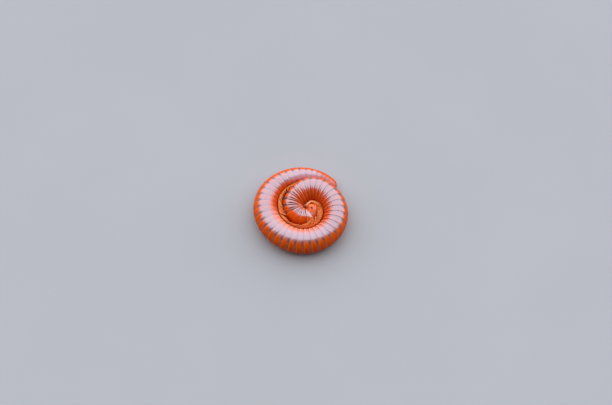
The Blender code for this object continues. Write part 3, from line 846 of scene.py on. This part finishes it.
def head_capsule():
    nu, nv = 220, 130
    lon = np.linspace(0, 2 * math.pi, nu, endpoint=False)
    lat = np.linspace(0.004, math.pi - 0.004, nv)
    lat, lon = np.meshgrid(lat, lon, indexing="ij")
    l = np.cos(lat)                      # poles at the two sides
    d, f = np.sin(lat) * np.cos(lon), np.sin(lat) * np.sin(lon)
    al = np.abs(l)
    sw = np.zeros_like(d)
    tone, dark = np.zeros_like(d), np.zeros_like(d)
    # crown seam down the middle of the forehead
    seam = bell(l, 0, 0.022) * sm(d, 0.05, 0.3)
    sw -= 0.018 * seam
    dark += 0.55 * seam
    # sockets of the feelers, a little above the middle of the face
    sock = np.exp(-(((al - 0.56) / 0.17) ** 2 + ((d - 0.16) / 0.18) ** 2)) * sm(f, 0.2, 0.5)
    sw -= 0.075 * sock
    dark += 0.40 * sock
    brow = np.exp(-(((al - 0.56) / 0.26) ** 2 + ((d - 0.40) / 0.12) ** 2)) * sm(f, 0.1, 0.4)
    sw += 0.025 * brow
    # a shallow groove for the folded feeler, from its socket over the cheek
    bed = np.exp(-((np.hypot(d + 0.09, f + 0.02) - 0.78) / 0.10) ** 2) * sm(al, 0.2, 0.5) * sm(0.25 - d, 0.0, 0.3)
    sw -= 0.045 * bed
    dark += 0.12 * bed
    # lower face: a shallow pan, then the rolled lip with its notch
    pan = bell(l, 0, 0.42) * bell(d, -0.42, 0.20) * sm(f, 0.3, 0.6)
    sw -= 0.020 * pan
    lip = bell(al, 0.0, 0.42) * bell(d, -0.66, 0.09) * sm(f, 0.15, 0.5)
    sw += 0.030 * lip
    tone += 0.8 * lip + 0.35 * pan
    notch = bell(l, 0, 0.075) * bell(d, -0.74, 0.11) * sm(f, 0.1, 0.4)
    sw -= 0.065 * notch
    for c in (-0.17, -0.06, 0.06, 0.17):      # pits above the lip
        pit = bell(l, c * 1.6, 0.022) * bell(d, -0.56, 0.03) * sm(f, 0.3, 0.5)
        sw -= 0.012 * pit
        dark += 0.7 * pit
    # jaw bases: two swollen plates on each cheek, parted by grooves
    stipes = np.exp(-(((d + 0.50) / 0.22) ** 2 + ((f - 0.16) / 0.34) ** 2)) * sm(al, 0.30, 0.60)
    sw += 0.050 * stipes
    tone += 0.35 * stipes
    cardo = np.exp(-(((d + 0.42) / 0.18) ** 2 + ((f + 0.42) / 0.15) ** 2)) * sm(al, 0.3, 0.6)
    sw += 0.035 * cardo
    tone += 0.20 * cardo
    g1 = bell(f + 0.18 * d, -0.33, 0.028) * sm(-d, 0.16, 0.30) * sm(al, 0.25, 0.5)
    g2 = bell(d - 0.16 * f, -0.24, 0.028) * sm(al, 0.40, 0.65) * sm(0.60 - f, 0.0, 0.2)
    g3 = bell(f - 0.10 * d, 0.60, 0.028) * sm(-d, 0.14, 0.28) * sm(al, 0.28, 0.42)
    for g in (g1, g2, g3):
        sw -= 0.034 * g
        dark += 0.55 * g
    # the rim of the skull behind, just ahead of the shield
    rear = bell(f, -0.62, 0.05) * sm(al, 0.1, 0.3)
    sw += 0.012 * rear
    tone += 0.25 * rear
    # orbit: the eye field lies in a slight dip with a raised rim
    far = np.hypot((d + 0.05) / 0.20, (f + 0.16) / 0.22)
    sw += (0.014 * bell(far, 1.12, 0.16) - 0.012 * bell(far, 0.0, 0.8)) * sm(al, 0.6, 0.8)
    dark += 0.25 * bell(far, 1.0, 0.12) * sm(al, 0.6, 0.8)
    # underside plate: shallow furrows between its lobes
    under = sm(-d, 0.72, 0.86)
    g4 = (bell(al, 0.20, 0.022) + 0.8 * bell(l, 0.0, 0.018) * sm(f, -0.1, 0.2)) * under
    sw -= 0.020 * g4
    dark += 0.35 * g4
    tone += 0.30 * under
    # a painted highlight: a pale rose patch over the back of the cheek, running on from the flanks' painted highlight
    # band
    painted_highlight = np.exp(-(((d - 0.44) / 0.24) ** 2 + ((f + 0.64) / 0.20) ** 2)) * sm(al, 0.15, 0.4)
    pts = head_point(d, f, l, sw)
    b = Batch()
    b.grid(pts, {"tone": np.clip(tone, 0, 1), "dark": np.clip(dark, 0, 1), "painted_highlight": painted_highlight})
    return b.build("head_capsule")


head = head_capsule()
head.data.materials.append(head_mat)
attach(head, "root")
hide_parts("head")

# ---- eyes: a field of small lenses in curved rows ---------------------------------
def eye(side):
    b = Batch()
    where = head_point(-0.05, -0.16, 0.98 * side)
    where[2] -= side * 0.035
    la = HEAD_A * 0.86 - HEAD_U * 0.5
    la /= np.linalg.norm(la)
    sa = np.cross(UP, la)
    nu, nv = 40, 12
    lon = np.linspace(0, 2 * math.pi, nu, endpoint=False)
    lat = np.linspace(0.03, math.pi / 2 + 0.5, nv)
    lat, lon = np.meshgrid(lat, lon, indexing="ij")
    x, y, z = 0.235 * np.sin(lat) * np.cos(lon), 0.17 * np.sin(lat) * np.sin(lon), 0.10 * np.cos(lat)
    y = y * (1.0 - 0.22 * x / 0.235)
    pts = where + la * x[..., None] + sa * y[..., None] + UP * (side * z)[..., None]
    b.grid(pts)
    for row in range(-3, 4):
        v = row * 0.045
        half = 0.214 * math.sqrt(max(0.0, 1 - (v / 0.176) ** 2))
        count = max(2, int(round(2 * half / 0.058)))
        for k in range(count):
            uu = -half + 2 * half * (k + 0.5) / count + (0.02 if row % 2 else -0.02)
            zz = 0.10 * math.sqrt(max(0.05, 1 - (uu / 0.255) ** 2 - (v / 0.186) ** 2))
            c = where + la * uu + sa * v * (1.0 - 0.22 * uu / 0.25) + UP * side * zz
            m, n = np.meshgrid(np.linspace(0.05, math.pi - 0.05, 7),
                               np.linspace(0, 2 * math.pi, 10, endpoint=False), indexing="ij")
            rr = 0.029
            ball = c + rr * (la * (np.sin(m) * np.cos(n))[..., None] + sa * (np.sin(m) * np.sin(n))[..., None]
                             + UP * (side * np.cos(m) * 0.8)[..., None])
            b.grid(ball)
    return b


eye_mat = eye_material()
for word, side in (("left", 1), ("right", -1)):
    piece = eye(side).build("eye_field_" + word)
    piece.data.materials.append(eye_mat)
    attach(piece, "root")
    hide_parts("eye_" + word)

# ---- feelers ------------------------------------------------------------------------
def feeler_point(t, side):
    turn = math.radians(62.0 + 133.0 * t)
    u = -0.12 + 0.95 * math.cos(turn) - 0.02 * t
    a = -0.02 + 1.15 * math.sin(turn)
    rise = 0.92 + 0.47 * float(sm(t, 0.0, 0.42))
    return HEAD_C + HEAD_U * u + HEAD_A * a + UP * (side * rise)


def feeler(side):
    """Seven articles from the socket beside the brow, round the front of the
    face and back along the cheek, the sixth the thickest."""
    root = head_point(0.16, 0.80, 0.56 * side, -0.10)
    path = [root, root * 0.35 + feeler_point(0.0, side) * 0.65 + HEAD_A * 0.02]
    path += [feeler_point(t, side) for t in (0.14, 0.28, 0.43, 0.57, 0.71, 0.85, 0.98)]
    fine = spline(path, 64)
    lengths = np.array([0.07, 0.19, 0.17, 0.155, 0.155, 0.17, 0.09])
    edges = np.concatenate([[0], np.cumsum(lengths / lengths.sum())])
    sizes = (0.20, 0.175, 0.170, 0.175, 0.190, 0.205, 0.165)
    us, rad, mark = [], [], []
    for k in range(7):
        a, b = edges[k], edges[k + 1]
        for f, w, m in ((0.0, 0.60, 1.0), (0.12, 0.80, 0.4), (0.45, 0.95, 0.0), (0.80, 1.08, 0.0), (0.94, 0.98, 0.2)):
            us.append(a + f * (b - a)); rad.append(sizes[k] * w); mark.append(m)
    us.append(1.0); rad.append(0.09); mark.append(0.5)
    us = np.array(us)
    grid = np.linspace(0, 1, 64)
    pts = np.stack([np.interp(us, grid, fine[:, k]) for k in range(3)], -1)
    b = Batch()
    ref = UP + 0.001
    b.grid(tube(pts, rad, 14, ref), {"leg_u": us, "leg_joint": np.array(mark)})
    run = pts[-1] - pts[-3]
    run /= np.linalg.norm(run)
    side_v = np.cross(run, UP); side_v /= np.linalg.norm(side_v)
    for dx, dz in ((0.035, 0.03), (-0.035, 0.03), (0.035, -0.03), (-0.035, -0.03)):
        c = pts[-1] + side_v * dx + UP * dz
        cone = np.stack([c - run * 0.02, c + run * 0.03, c + run * 0.06])
        b.grid(tube(cone, (0.022, 0.017, 0.005), 6, ref), {"leg_u": np.array([0.99, 1, 1]), "leg_joint": np.array([0.9, 0.9, 0.9])})
    return b


antenna_mat = antenna_material()
for word, side in (("left", 1), ("right", -1)):
    piece = feeler(side).build("feeler_" + word)
    piece.data.materials.append(antenna_mat)
    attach(piece, "root")
    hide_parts("antenna_" + word)

# ---- floor, light, camera ---------------------------------------------------------
bpy.ops.mesh.primitive_plane_add(size=4.0, location=(0, 0, 0))
floor = bpy.context.object
floor.name = "floor"
floor.data.materials.append(floor_material())

world = bpy.data.worlds.new("studio")
bpy.context.scene.world = world
world.use_nodes = True
wt = world.node_tree
bg = wt.nodes["Background"]
coord = wt.nodes.new("ShaderNodeTexCoord")
sep = wt.nodes.new("ShaderNodeSeparateXYZ")
wt.links.new(coord.outputs["Generated"], sep.inputs[0])


def wmath(op, a, b):
    n = wt.nodes.new("ShaderNodeMath")
    n.operation = op
    for s, v in zip(n.inputs, (a, b)):
        if isinstance(v, bpy.types.NodeSocket):
            wt.links.new(v, s)
        else:
            s.default_value = v
    return n.outputs[0]


# a broad cool sky above and behind the coil, dim on the camera's side
lean = wmath("ADD", wmath("MULTIPLY", sep.outputs["Y"], 0.94), wmath("MULTIPLY", sep.outputs["Z"], 0.34))


def wramp(x, a, b):
    n = wt.nodes.new("ShaderNodeMapRange")
    n.interpolation_type = "SMOOTHSTEP"
    wt.links.new(x, n.inputs["Value"])
    n.inputs["From Min"].default_value = a
    n.inputs["From Max"].default_value = b
    return n.outputs[0]


def wmix(f, a, b):
    n = wt.nodes.new("ShaderNodeMix")
    n.data_type = "RGBA"
    for socket, v in ((n.inputs[0], f), (n.inputs[6], a), (n.inputs[7], b)):
        if isinstance(v, bpy.types.NodeSocket):
            wt.links.new(v, socket)
        else:
            socket.default_value = (*v, 1.0)
    return n.outputs[2]


sky = wmix(wramp(lean, -0.12, 0.22), (0.13, 0.115, 0.105), (1.72, 2.12, 2.72))
wt.links.new(sky, bg.inputs["Color"])
bg.inputs["Strength"].default_value = 1.0

CAM_EL, CAM_DIST, LENS = math.radians(64.2), 0.55, 170.0
cam_data = bpy.data.cameras.new("camera")
cam = bpy.data.objects.new("camera", cam_data)
bpy.context.scene.collection.objects.link(cam)
cam_data.lens = LENS
cam_data.sensor_width = 36.0
# the coil's middle (its base circle's centre, at body height) falls on pixel
# (308, 210) of the 612 x 405 frame, at 0.19 mm a pixel
MID = Vector((SHIFT[0], SHIFT[1], BODY_R)) * MM
view_dir = Vector((0.0, math.cos(CAM_EL), -math.sin(CAM_EL)))
right = Vector((1.0, 0.0, 0.0))
up = right.cross(view_dir)
px = 0.19 * MM
aim = MID - right * (308.0 - 306.0) * px + up * (210.0 - 202.5) * px
cam_data.lens = 36.0 / (612.0 * px) * CAM_DIST
cam.location = aim - view_dir * CAM_DIST
cam.rotation_mode = "QUATERNION"
cam.rotation_quaternion = view_dir.to_track_quat("-Z", "Y")
cam_data.clip_start, cam_data.clip_end = 0.01, 20.0
bpy.context.scene.camera = cam
bpy.context.scene.view_settings.view_transform = "Standard"
